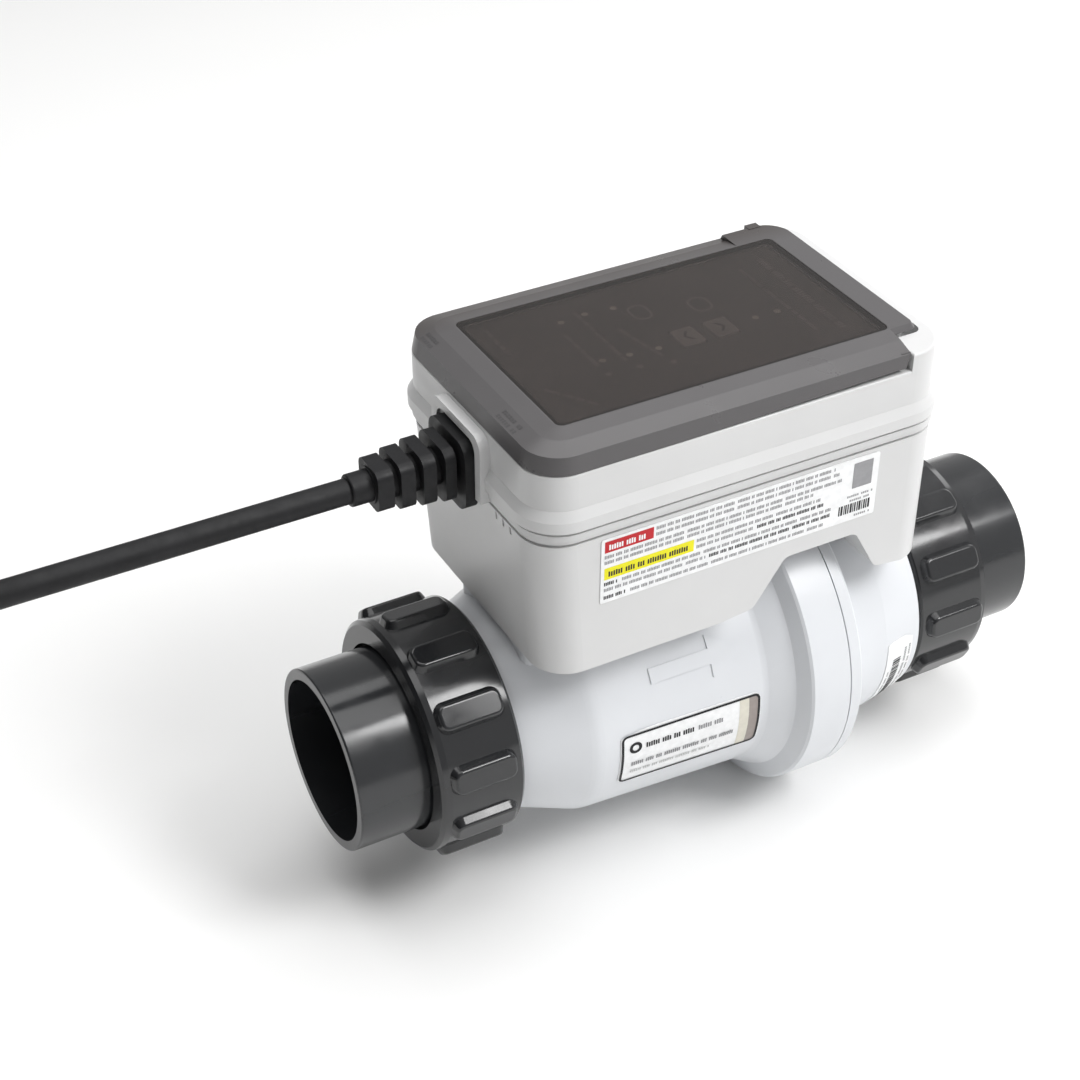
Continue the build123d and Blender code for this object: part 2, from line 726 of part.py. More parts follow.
def make_key(name, x):
    """A key cap on its plunger, clear of the switch by its travel."""
    with BuildPart() as key:
        with BuildSketch(Plane.XY.offset(134.8)):
            with Locations((x, key_y)):
                RectangleRounded(key_size[0], key_size[1], 1.4)
        extrude(amount=key_top - 134.8)
        fillet(key.faces().sort_by(Axis.Z)[-1].edges(), 0.4)
        slab(x - 1.6, x + 1.6, key_y - 1.6, key_y + 1.6, 133.6, 134.9)
    keep(key, f"{name}_key")


def make_lights():
    with BuildPart() as lamps:
        for x, y in lights:
            with Locations((x, y, panel_top - 3.0)):
                Cylinder(1.25, 3.0, align=(Align.CENTER, Align.CENTER, Align.MIN))
    keep(lamps, "indicator_lights")


def make_key_board():
    """The small board under the fascia with its two key switches."""
    with BuildPart() as board:
        slab(100.0, 190.0, -16.0, 30.0, deck, deck + 1.2)
        for x in keys.values():
            slab(x - 3.0, x + 3.0, key_y - 3.0, key_y + 3.0, deck + 1.2, 132.9)
    keep(board, "key_board")


make_control_panel()
for name, x in keys.items():
    make_key(name, x)
make_lights()
make_key_board()


# ---- smoked lid ---------------------------------------------------------------------------------

window = (75.4, 206.2, 37.5)
lid_x1 = 205.7


def lid_form(inset, sections):
    """Straight-sided layers that step in towards the lid's flat top."""
    with BuildPart() as form:
        for x0, half, corner, z in sections:
            with BuildSketch(Plane.XY.offset(z)):
                with Locations(((x0 + inset + 300) / 2, 0)):
                    RectangleRounded(300 - x0 - inset, 2 * (half - inset), corner)
        loft(ruled=True)
    return form.part


def make_lid_frame():
    outside = [(case_x0 + 0.1, 51.9, 14.4, deck + 0.2), (61.9, 50.7, 13.2, lid_edge),
               (68.4, 44.2, 8.0, 139.3), (74.9, 37.9, 3.0, lid_top)]
    inside = [(case_x0 + 0.1, 51.9, 12.4, deck), (61.9, 50.7, 11.2, lid_edge - 1.8), (68.4, 44.2, 6.0, 137.4),
              (74.9, 39.0, 2.0, 138.2)]
    x0, x1, half = window
    with BuildPart() as frame:
        add(lid_form(0, outside))
        add(lid_form(2.0, inside), mode=Mode.SUBTRACT)
        slab(lid_x1, 400, -80, 80, 100, 160, mode=Mode.SUBTRACT)
        for y in (-45.0, 45.0):
            slab(lid_x1 - 3.5, lid_x1, y - 5.2, y + 5.2, 133.0, 137.6)
        with BuildSketch(Plane.XZ.offset(-80)):
            with BuildLine():
                Polyline((lid_x1 + 1, lid_edge), (lid_x1, lid_edge), (lid_x1 - 2.2, deck + 1.8),
                         (118.0, deck + 0.2), (118.0, deck - 2), (lid_x1 + 1, deck - 2), close=True)
            make_face()
        extrude(amount=160, mode=Mode.SUBTRACT)
        add(overhang(192.0, 216.9, -39.2, 49.0, 11.0, lid_top - 2.0, lid_top, taper=33))
        rounded(x0, x1, half, 2.6, lid_top - 1.4, lid_top + 1, mode=Mode.SUBTRACT)
        rounded(x0 + 2, x1 - 2, half - 2, 1.5, 130, lid_top, mode=Mode.SUBTRACT)
        for y0, y1 in ((ears[0][1] + 0.4, ears[1][0] - 0.4), (ears[1][1] + 0.4, ears[2][0] - 0.4)):
            slab(hinge_x - ear_r, hinge_x + ear_r, y0, y1, hinge_z, lid_top - 1.9)
            with Locations(Plane(origin=(hinge_x, (y0 + y1) / 2, hinge_z), z_dir=(0, 1, 0))):
                Cylinder(ear_r, y1 - y0)
        with Locations(Plane(origin=(hinge_x, 0, hinge_z), z_dir=(0, 1, 0))):
            Cylinder(pin_r + 0.05, 200, mode=Mode.SUBTRACT)
        slab(203.0, 208.0, 46.4, 49.8, 138.0, 140.5)
    keep(frame, "lid_frame")


def make_lid_window():
    x0, x1, half = window
    with BuildPart() as pane:
        rounded(x0 + 0.1, x1 - 0.1, half - 0.1, 2.5, lid_top - 1.4, lid_top - 0.05)
    keep(pane, "lid_window")


def make_lid_pin():
    with BuildPart() as pin:
        with Locations(Plane(origin=(hinge_x, 0, hinge_z), z_dir=(0, 1, 0))):
            Cylinder(pin_r, 2 * ears[-1][1])
    keep(pin, "lid_pin")


def make_lid_seal():
    """Dark strip on the deck inside the lid's skirt, open at the hinge end."""
    with BuildPart() as seal:
        for inset, mode in ((2.8, Mode.ADD), (4.2, Mode.SUBTRACT)):
            rounded(case_x0 + inset, 240, case_half - inset, case_corner - inset, deck, deck + 1.7, mode=mode)
        slab(lid_x1 - 2.9, 260, -60, 60, deck - 1, deck + 3, mode=Mode.SUBTRACT)
    keep(seal, "lid_seal")


make_lid_frame()
make_lid_window()
make_lid_pin()
make_lid_seal()


# ---- info plate ---------------------------------------------------------------------------------

def make_info_plate():
    """A printed plate on the leaning front wall of the lower case."""
    x0, x1, z0, z1 = 84.3, 196.7, 74.2, 100.6
    lean = (low_top[1] - low_bottom[1]) / (case_split - case_floor)
    middle = (z0 + z1) / 2
    y = -(low_bottom[1] + lean * (middle - case_floor))
    face = Plane(origin=((x0 + x1) / 2, y, middle), x_dir=(1, 0, 0), z_dir=(0, -1, -lean))
    with BuildPart() as label:
        with BuildSketch(face.offset(0.02)):
            RectangleRounded(x1 - x0, z1 - z0, 0.8)
        extrude(amount=0.3)
    keep(label, "info_plate")


make_info_plate()


# ---- cable gland --------------------------------------------------------------------------------

def make_cable_gland():
    """Black rubber strain relief: plate, four shrinking ribs on a core, end collar."""
    ribs = ((48.0, 52.0, 10.3), (40.2, 45.0, 9.6), (32.4, 37.6, 8.8), (24.4, 30.2, 7.8))
    with BuildPart() as gland:
        with BuildSketch(Plane.YZ.offset(gland_seat)):
            with Locations((0, cable_z - 0.4)):
                RectangleRounded(27.6, 26.8, 6.0)
        extrude(amount=-4.6)
        for x0, x1, half in ribs:
            with BuildSketch(Plane.YZ.offset(x0)):
                with Locations((0, cable_z)):
                    RectangleRounded(2 * half, 2 * half, half * 0.42)
            extrude(amount=x1 - x0)
        with BuildSketch(Plane.YZ.offset(24.0)):
            with Locations((0, cable_z)):
                Circle(6.6)
        extrude(amount=30.0)
        with BuildSketch(Plane.YZ.offset(gland_end)):
            with Locations((0, cable_z)):
                Circle(5.7)
        extrude(amount=8.0)
        slab(gland_seat - 0.1, case_x0 + 6.0, -gland_half + 0.1, gland_half - 0.1,
             cable_z - gland_half + 0.1, cable_z + gland_half - 0.1)
        fillet(gland.faces().sort_by(Axis.X)[0].edges(), 0.8)
    keep(gland, "cable_gland")


gland_end = 16.5
make_cable_gland()


# ---- cable --------------------------------------------------------------------------------------

coil_columns = (40.6, 49.7, 58.8, 67.9)      # radii of the turns that lie side by side
coil_layers = 3
coil_pitch = 9.1
coil_x = -320.0
coil_y = -6.0
coil_top = ground + coil_layers * coil_pitch
coil_side = coil_y + coil_columns[-1]
route = [(gland_end, 0, 112.0), (-124.0, 0, 112.0), (-170.0, 14.0, 95.0), (-196.0, 36.0, 53.0),
         (-203.0, 50.0, 2.0), (-222.0, 58.5, -42.0), (-259.0, coil_side - 0.7, ground + cable_d / 2),
         (-294.0, coil_side, ground + cable_d / 2)]


def bend_radii(points):
    """Each corner's radius: 0.45 of its shorter run over the tangent of half the turn."""
    radii = []
    for a, b, c in zip(points, points[1:], points[2:]):
        before = Vector(*b) - Vector(*a)
        after = Vector(*c) - Vector(*b)
        turn = radians(before.get_angle(after))
        radii.append(0.45 * min(before.length, after.length) / tan(turn / 2))
    return radii


def make_power_cord():
    radii = bend_radii(route)
    print("cord radii", [round(r) for r in radii])
    with BuildPart() as cord:
        with BuildLine() as line:
            FilletPolyline(*route, radius=radii)
        path = line.wires()[0]
        with BuildSketch(Plane(origin=path @ 0, z_dir=path % 0)) as section:
            Circle(cable_d / 2)
        sweep(section.sketch, path=path)
    expected = pi * cable_d ** 2 / 4 * path.length
    print(f"cord tube {path.length:.0f} mm, volume over expected {cord.part.volume / expected:.4f}")
    keep(cord, "power_cord")


def make_cord_coil():
    """The outer form of the put-away turns."""
    inner = coil_columns[0] - cable_d / 2
    outer = coil_columns[-1] + cable_d / 2
    with BuildPart() as coil:
        with Locations((coil_x, coil_y, ground)):
            Cylinder(outer, coil_top - ground, align=(Align.CENTER, Align.CENTER, Align.MIN))
            Cylinder(inner, coil_top - ground, align=(Align.CENTER, Align.CENTER, Align.MIN), mode=Mode.SUBTRACT)
        fillet(coil.edges().filter_by(GeomType.CIRCLE), 3.0)
    keep(coil, "cord_coil")


def make_cord_tie():
    """A strap round the coil's section."""
    inner = coil_columns[0] - cable_d / 2 - 0.8
    outer = coil_columns[-1] + cable_d / 2 + 0.2
    with BuildPart() as strap:
        slab(inner - 1.2, outer + 1.2, -6.0, 6.0, ground + 0.2, coil_top + 1.4)
        slab(inner, outer, -9.0, 9.0, ground - 9, coil_top + 0.2, mode=Mode.SUBTRACT)
    with BuildPart() as tie:
        add(strap.part.rotate(Axis.Z, 42).translate((coil_x, coil_y, 0)))
    keep(tie, "cord_tie")


plug_r = 13.0
plug_z = coil_top + plug_r
plug_rear = coil_x - 4.0


def make_plug():
    """Moulded plug lying across the coil: boot, barrel, ring and four pins."""
    axis = Plane(origin=(plug_rear, coil_y - 52.0, plug_z), x_dir=(0, 1, 0), z_dir=(1, 0, 0))
    with BuildPart() as body:
        with BuildSketch(axis):
            Circle(6.5)
        with BuildSketch(axis.offset(20.0)):
            Circle(10.0)
        loft()
        with BuildSketch(axis.offset(20.0)):
            Circle(plug_r)
        extrude(amount=24.0)
        with BuildSketch(axis.offset(44.0)):
            Circle(plug_r - 2.0)
            Circle(plug_r - 3.6, mode=Mode.SUBTRACT)
        extrude(amount=11.0)
        fillet(circles_at(body, plug_r), 1.2)
    keep(body, "plug_body")
    with BuildPart() as pins:
        with BuildSketch(axis.offset(44.0)):
            with PolarLocations(4.6, 4, start_angle=45):
                Circle(1.2)
        extrude(amount=9.5)
        fillet(pins.edges().filter_by(GeomType.CIRCLE).group_by(Axis.X)[-1], 0.6)
    keep(pins, "plug_pins")


make_power_cord()
make_cord_coil()
make_cord_tie()
make_plug()

for name, volume in names:
    print(f"{name}: {volume:.0f} mm3")
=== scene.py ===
"""Salt chlorine generator: materials, printed marks, cable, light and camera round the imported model.

Frame: metres, origin at the centre of the inlet socket's mouth, +X along the flow, +Z up,
-Y the side with the labels. Lengths below are in millimetres unless a name ends in _m.
"""
import bmesh
import bpy
from math import cos, radians, sin
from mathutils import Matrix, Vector


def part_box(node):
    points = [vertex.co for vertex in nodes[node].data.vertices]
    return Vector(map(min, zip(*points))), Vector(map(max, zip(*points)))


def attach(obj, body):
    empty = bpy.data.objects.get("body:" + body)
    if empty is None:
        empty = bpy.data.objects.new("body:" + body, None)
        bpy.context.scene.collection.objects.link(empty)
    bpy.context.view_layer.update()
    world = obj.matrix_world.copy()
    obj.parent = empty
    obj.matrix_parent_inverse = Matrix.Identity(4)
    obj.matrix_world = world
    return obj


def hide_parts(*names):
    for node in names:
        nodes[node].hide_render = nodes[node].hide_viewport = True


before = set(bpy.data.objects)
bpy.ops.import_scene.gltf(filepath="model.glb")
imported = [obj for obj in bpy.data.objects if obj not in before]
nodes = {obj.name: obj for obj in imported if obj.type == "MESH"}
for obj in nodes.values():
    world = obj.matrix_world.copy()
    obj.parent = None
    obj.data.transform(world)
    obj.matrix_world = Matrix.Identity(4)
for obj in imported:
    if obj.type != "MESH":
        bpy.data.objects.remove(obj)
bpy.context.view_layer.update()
MM = 0.001


# ---- camera ------------------------------------------------------------------------------------

def make_camera():
    azimuth = radians(-28.567)
    elevation = radians(36.067)
    back = Vector((sin(azimuth) * cos(elevation), -cos(azimuth) * cos(elevation), sin(elevation)))
    data = bpy.data.cameras.new("photo_camera")
    data.sensor_width = 36.0
    data.lens = 70.49
    data.clip_start = 0.01
    data.clip_end = 50.0
    camera = bpy.data.objects.new("photo_camera", data)
    bpy.context.scene.collection.objects.link(camera)
    camera.location = Vector((0.08909, 0.0, 0.06677)) + back * 0.75348
    camera.rotation_mode = "QUATERNION"
    camera.rotation_quaternion = (-back).to_track_quat("-Z", "Y")
    bpy.context.scene.camera = camera


make_camera()


# ---- material helpers ----------------------------------------------------------------------------

class Surface:
    """A material under construction: its nodes, links and shader."""

    def __init__(self, name):
        self.material = bpy.data.materials.new(name)
        self.material.use_nodes = True
        self.tree = self.material.node_tree
        self.shader = self.tree.nodes["Principled BSDF"]
        self.place = self.tree.nodes.new("ShaderNodeTexCoord").outputs["Object"]

    def link(self, source, target):
        self.tree.links.new(source, target)

    def stretched(self, scale):
        node = self.tree.nodes.new("ShaderNodeMapping")
        node.inputs["Scale"].default_value = scale
        self.link(self.place, node.inputs["Vector"])
        return node.outputs["Vector"]

    def noise(self, scale, detail=3.0, rough=0.55, place=None):
        node = self.tree.nodes.new("ShaderNodeTexNoise")
        node.inputs["Scale"].default_value = scale
        node.inputs["Detail"].default_value = detail
        node.inputs["Roughness"].default_value = rough
        self.link(place or self.place, node.inputs["Vector"])
        return node.outputs["Fac"]

    def cells(self, scale, place=None):
        node = self.tree.nodes.new("ShaderNodeTexVoronoi")
        node.inputs["Scale"].default_value = scale
        self.link(place or self.place, node.inputs["Vector"])
        return node.outputs["Distance"]

    def span(self, value, low, high, out_low, out_high):
        node = self.tree.nodes.new("ShaderNodeMapRange")
        node.inputs["From Min"].default_value = low
        node.inputs["From Max"].default_value = high
        node.inputs["To Min"].default_value = out_low
        node.inputs["To Max"].default_value = out_high
        self.link(value, node.inputs["Value"])
        return node.outputs["Result"]

    def colours(self, value, stops):
        node = self.tree.nodes.new("ShaderNodeValToRGB")
        ramp = node.color_ramp
        while len(ramp.elements) < len(stops):
            ramp.elements.new(0.5)
        for element, (place, colour) in zip(ramp.elements, stops):
            element.position = place
            element.color = (*colour, 1.0)
        self.link(value, node.inputs["Fac"])
        return node.outputs["Color"]

    def relief(self, *layers):
        """Bump from (height, strength, distance in mm) layers, one on the other."""
        normal = None
        for height, strength, distance in layers:
            node = self.tree.nodes.new("ShaderNodeBump")
            node.inputs["Strength"].default_value = strength
            node.inputs["Distance"].default_value = distance * MM
            self.link(height, node.inputs["Height"])
            if normal:
                self.link(normal, node.inputs["Normal"])
            normal = node.outputs["Normal"]
        self.link(normal, self.shader.inputs["Normal"])


def tinted(colour, amount):
    return tuple(max(0.0, c * amount) for c in colour)


def moulded(name, colour, rough, grain=0.12, variation=0.035, gloss=0.5):
    """Injection-moulded plastic: slow tint changes, fine eroded grain, uneven sheen."""
    surface = Surface(name)
    cloud = surface.noise(14.0, 4.0)
    stops = [(0.3, tinted(colour, 1 - variation)), (0.7, tinted(colour, 1 + variation))]
    surface.link(surface.colours(cloud, stops), surface.shader.inputs["Base Color"])
    smear = surface.noise(60.0, 5.0, 0.65)
    surface.link(surface.span(smear, 0.3, 0.7, rough - 0.05, rough + 0.06),
                 surface.shader.inputs["Roughness"])
    surface.relief((surface.noise(2600.0, 2.0), grain, 0.02), (surface.noise(90.0, 2.0), 0.06, 0.05))
    surface.shader.inputs["Specular IOR Level"].default_value = gloss
    return surface.material


def lid_plastic(name, colour, shaded_back):
    """Smoked rim of the lid: grey at the front, with painted shade making it darker and browner along its
    back edge.
    """
    surface = Surface(name)
    along = surface.tree.nodes.new("ShaderNodeSeparateXYZ")
    surface.link(surface.place, along.inputs["Vector"])
    # painted shade: the rim's colour turns darker and browner towards its back edge
    share = surface.span(along.outputs["Y"], 0.034, 0.046, 0.0, 1.0)
    surface.link(surface.colours(share, [(0.0, colour), (1.0, shaded_back)]), surface.shader.inputs["Base Color"])
    surface.link(surface.span(surface.noise(60.0, 5.0), 0.3, 0.7, 0.26, 0.36),
                 surface.shader.inputs["Roughness"])
    surface.relief((surface.noise(2600.0, 2.0), 0.03, 0.02))
    return surface.material


def turned_metal(name, colour, rough):
    """Metal with fine tool lines and a little dulling."""
    surface = Surface(name)
    lines = surface.noise(900.0, 2.0, place=surface.stretched((1.0, 1.0, 14.0)))
    stops = [(0.25, tinted(colour, 0.8)), (0.75, tinted(colour, 1.12))]
    surface.link(surface.colours(surface.noise(180.0, 4.0), stops), surface.shader.inputs["Base Color"])
    surface.link(surface.span(lines, 0.3, 0.7, rough - 0.08, rough + 0.1), surface.shader.inputs["Roughness"])
    surface.relief((lines, 0.15, 0.02))
    surface.shader.inputs["Metallic"].default_value = 1.0
    return surface.material


def rubber(name, colour, rough=0.62):
    """Soft rubber or cable jacket: fine pebble and a dull surface."""
    surface = Surface(name)
    stops = [(0.35, tinted(colour, 0.8)), (0.75, tinted(colour, 1.5))]
    surface.link(surface.colours(surface.noise(45.0, 5.0, 0.7), stops), surface.shader.inputs["Base Color"])
    surface.link(surface.span(surface.noise(240.0), 0.3, 0.7, rough - 0.07, rough + 0.08),
                 surface.shader.inputs["Roughness"])
    surface.relief((surface.cells(1500.0), 0.18, 0.03), (surface.noise(120.0), 0.08, 0.06))
    surface.shader.inputs["Specular IOR Level"].default_value = 0.28
    return surface.material


def printed(name, colour, rough=0.5):
    """Ink or label film: slightly uneven density and a faint paper tooth."""
    surface = Surface(name)
    stops = [(0.3, tinted(colour, 0.94)), (0.7, tinted(colour, 1.04))]
    surface.link(surface.colours(surface.noise(400.0, 3.0), stops), surface.shader.inputs["Base Color"])
    surface.link(surface.span(surface.noise(900.0), 0.3, 0.7, rough - 0.05, rough + 0.05),
                 surface.shader.inputs["Roughness"])
    surface.relief((surface.noise(1800.0), 0.05, 0.01))
    surface.shader.inputs["Specular IOR Level"].default_value = 0.25
    return surface.material


def smoked(name, colour, rough, through):
    """Smoked clear plastic: most of the light goes through, with faint scuffs on top."""
    surface = Surface(name)
    stops = [(0.3, tinted(colour, 0.96)), (0.7, tinted(colour, 1.05))]
    surface.link(surface.colours(surface.noise(30.0, 4.0), stops), surface.shader.inputs["Base Color"])
    scuffs = surface.noise(500.0, 4.0, 0.7, place=surface.stretched((1.0, 5.0, 1.0)))
    surface.link(surface.span(scuffs, 0.35, 0.8, rough, rough + 0.04), surface.shader.inputs["Roughness"])
    surface.relief((surface.noise(110.0), 0.03, 0.02))
    surface.shader.inputs["Transmission Weight"].default_value = through
    surface.shader.inputs["IOR"].default_value = 1.22
    return surface.material


body_white = moulded("body_white", (0.68, 0.695, 0.72), 0.32)
case_white = moulded("case_white", (0.62, 0.62, 0.62), 0.34)
union_black = moulded("union_black", (0.016, 0.0165, 0.018), 0.15, grain=0.03, variation=0.12, gloss=0.6)
tail_black = moulded("tail_black", (0.018, 0.019, 0.021), 0.18, grain=0.03, variation=0.12, gloss=0.6)
# lid_grey: the second colour is painted shade along the rim's back edge
lid_grey = lid_plastic("lid_grey", (0.088, 0.084, 0.086), (0.058, 0.051, 0.049))
ghost_grey = moulded("ghost_grey", (0.070, 0.067, 0.069), 0.40, grain=0.03, variation=0.03)
weld_grey = moulded("weld_grey", (0.42, 0.43, 0.45), 0.6)
rack_grey = moulded("rack_grey", (0.62, 0.64, 0.67), 0.5)
paddle_black = moulded("paddle_black", (0.06, 0.06, 0.065), 0.5)
panel_brown = moulded("panel_brown", (0.056, 0.047, 0.043), 0.7, grain=0.05, variation=0.05, gloss=0.15)
key_brown = moulded("key_brown", (0.19, 0.168, 0.158), 0.6, grain=0.05, gloss=0.2)
component_black = moulded("component_black", (0.05, 0.05, 0.055), 0.45)
lamp_clear = moulded("lamp_clear", (0.30, 0.26, 0.22), 0.25, grain=0.02)
board_green = moulded("board_green", (0.018, 0.14, 0.06), 0.3, grain=0.2, variation=0.2)
tie_black = moulded("tie_black", (0.02, 0.02, 0.02), 0.42)
blade_dark = turned_metal("blade_dark", (0.17, 0.165, 0.17), 0.55)
steel = turned_metal("steel", (0.62, 0.62, 0.64), 0.3)
brass = turned_metal("brass", (0.80, 0.60, 0.28), 0.28)
gland_black = rubber("gland_black", (0.007, 0.007, 0.008), 0.5)
cord_black = rubber("cord_black", (0.010, 0.010, 0.011), 0.55)
seal_black = rubber("seal_black", (0.015, 0.015, 0.015))
lead_red = rubber("lead_red", (0.35, 0.03, 0.025), 0.45)
label_white = printed("label_white", (0.86, 0.865, 0.87), 0.38)
ink_black = printed("ink_black", (0.018, 0.018, 0.020))
ink_grey = printed("ink_grey", (0.30, 0.30, 0.31))
ink_pale = printed("ink_pale", (0.55, 0.55, 0.55))
ink_red = printed("ink_red", (0.50, 0.018, 0.025))
ink_yellow = printed("ink_yellow", (0.82, 0.76, 0.015))
ink_taupe = printed("ink_taupe", (0.33, 0.29, 0.27))
ink_sand = printed("ink_sand", (0.70, 0.67, 0.58))
legend_brown = printed("legend_brown", (0.125, 0.108, 0.100))
chevron_brown = printed("chevron_brown", (0.022, 0.017, 0.015))
window_smoke = smoked("window_smoke", (0.40, 0.365, 0.35), 0.03, 0.94)

cad_materials = {
    body_white: ("inlet_housing", "outlet_housing"),
    case_white: ("lower_case", "upper_case"),
    union_black: ("inlet_union_nut", "outlet_union_nut"),
    tail_black: ("inlet_tailpiece", "outlet_tailpiece"),
    weld_grey: ("flange_weld_ring",),
    rack_grey: ("electrode_rack_inlet", "electrode_rack_outlet"),
    paddle_black: ("flow_switch_stem", "flow_paddle"),
    panel_brown: ("control_panel",),
    key_brown: ("less_key", "more_key"),
    component_black: ("board_parts",),
    lamp_clear: ("indicator_lights",),
    board_green: ("circuit_board", "key_board"),
    tie_black: ("cord_tie",),
    blade_dark: ("electrode_blades",),
    steel: ("electrode_posts", "post_nuts", "temperature_sensor", "paddle_pin", "lid_pin", "case_screws",
            "saddle_screws"),
    brass: ("plug_pins",),
    gland_black: ("cable_gland", "plug_body"),
    cord_black: ("power_cord", "cord_coil"),
    seal_black: ("inlet_union_oring", "outlet_union_oring", "case_gasket", "post_seals",
                 "lid_seal"),
    lead_red: ("power_leads",),
    label_white: ("name_label", "serial_label", "info_plate"),
    lid_grey: ("lid_frame",),
    window_smoke: ("lid_window",),
}


def dress_nodes():
    for material, names in cad_materials.items():
        for name in names:
            data = nodes[name].data
            data.materials.clear()
            data.materials.append(material)


dress_nodes()


# ---- cable -----------------------------------------------------------------------------------------

cable_d = 9.0
ground = -64.0
coil_columns = (67.9, 58.8, 49.7, 40.6)
coil_pitch = 9.1
coil_x = -320.0
coil_y = -6.0
coil_side = coil_y + coil_columns[0]
route = [(16.5, 0, 112.0), (-73.0, 0, 112.0), (-124.0, 0, 112.0), (-170.0, 14.0, 95.0), (-196.0, 36.0, 53.0),
         (-203.0, 50.0, 2.0), (-222.0, 58.5, -42.0), (-259.0, coil_side - 0.7, ground + cable_d / 2),
         (-294.0, coil_side, ground + cable_d / 2)]
step = 22.5               # degrees between the points of a turn
overshoot = 1 / cos(radians(step / 2))


def eased(t):
    t = min(max(t, 0.0), 1.0)
    return t * t * (3 - 2 * t)


# The winding as stretches: (angle it ends at, column it moves to, layer it moves to).
# The angle is what the cable has turned since it met the coil.
winding = [
    (360, 0, 0), (420, 1, 0), (720, 1, 0), (780, 2, 0), (1080, 2, 0), (1140, 3, 0), (1320, 3, 0),
    (1380, 3, 1), (1620, 3, 1), (1680, 2, 1), (1980, 2, 1), (2040, 1, 1), (2340, 1, 1), (2400, 0, 1),
    (2640, 0, 1), (2700, 0, 2), (2940, 0, 2), (3000, 1, 2), (3300, 1, 2), (3360, 2, 2), (3660, 2, 2),
    (3720, 3, 2), (3982, 3, 2),
]
# The last stretch lies on top and rises to the plug: (angle, radius, height over the top layer).
lead = [(3998, 40.6, 1.4), (4016, 40.6, 5.6), (4034, 40.7, 8.6), (4054, 42.0, 9.2), (4074, 45.0, 9.4),
        (4094, 48.6, 11.2), (4112, 51.2, 14.4), (4128, 52.2, 17.0)]


def coil_point(angle, radius, height):
    theta = radians(90.0 + angle)
    return (coil_x + radius * overshoot * cos(theta), coil_y + radius * overshoot * sin(theta), height)


def coil_points():
    """The turns: each column in turn, with a short crossing to the next."""
    points = []
    angle = 0.0
    start, column, layer = 0.0, 0, 0
    low = ground + cable_d / 2
    for end, next_column, next_layer in winding:
        while angle < end:
            share = eased((angle - start) / (end - start))
            radius = coil_columns[column] + (coil_columns[next_column] - coil_columns[column]) * share
            height = low + coil_pitch * (layer + (next_layer - layer) * share)
            points.append(coil_point(angle, radius, height))
            angle += step
        start, column, layer = end, next_column, next_layer
    for angle, radius, rise in lead:
        points.append(coil_point(angle, radius, low + 2 * coil_pitch + rise))
    return points


def make_cord():
    plug_low, plug_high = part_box("plug_body")
    plug_y = (plug_low[1] + plug_high[1]) / 2 / MM
    plug_z = (plug_low[2] + plug_high[2]) / 2 / MM
    plug_rear = plug_low[0] / MM
    points = route + coil_points()
    points += [(plug_rear - 1.0, plug_y, plug_z), (plug_rear + 6.0, plug_y, plug_z)]
    curve = bpy.data.curves.new("supply_cable", "CURVE")
    curve.dimensions = "3D"
    curve.bevel_depth = cable_d / 2 * MM
    curve.bevel_resolution = 8
    curve.resolution_u = 6
    curve.use_fill_caps = True
    spline = curve.splines.new("NURBS")
    spline.points.add(len(points) - 1)
    for slot, place in zip(spline.points, points):
        slot.co = (*[c * MM for c in place], 1.0)
    spline.order_u = 3
    spline.use_endpoint_u = True
    cord = bpy.data.objects.new("supply_cable", curve)
    bpy.context.scene.collection.objects.link(cord)
    curve.materials.append(cord_black)
    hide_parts("power_cord", "cord_coil")
    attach(cord, "cell")


make_cord()


# ---- printed and moulded marks -----------------------------------------------------------------------

name_r, name_x, name_taper = 48.5, 87.0, 3.1 / 69     # the barrel's radius at a place, and its growth
serial_r, serial_x, serial_taper = 49.5, 212.0, 3.9 / 18.7
label_film = 0.34
plate_front, plate_middle, plate_lean = -51.145, 87.4, 0.0105
panel_top = 137.2
key_top = 137.6
key_y = -5.5
key_x = {"less": 144.1, "more": 157.6}


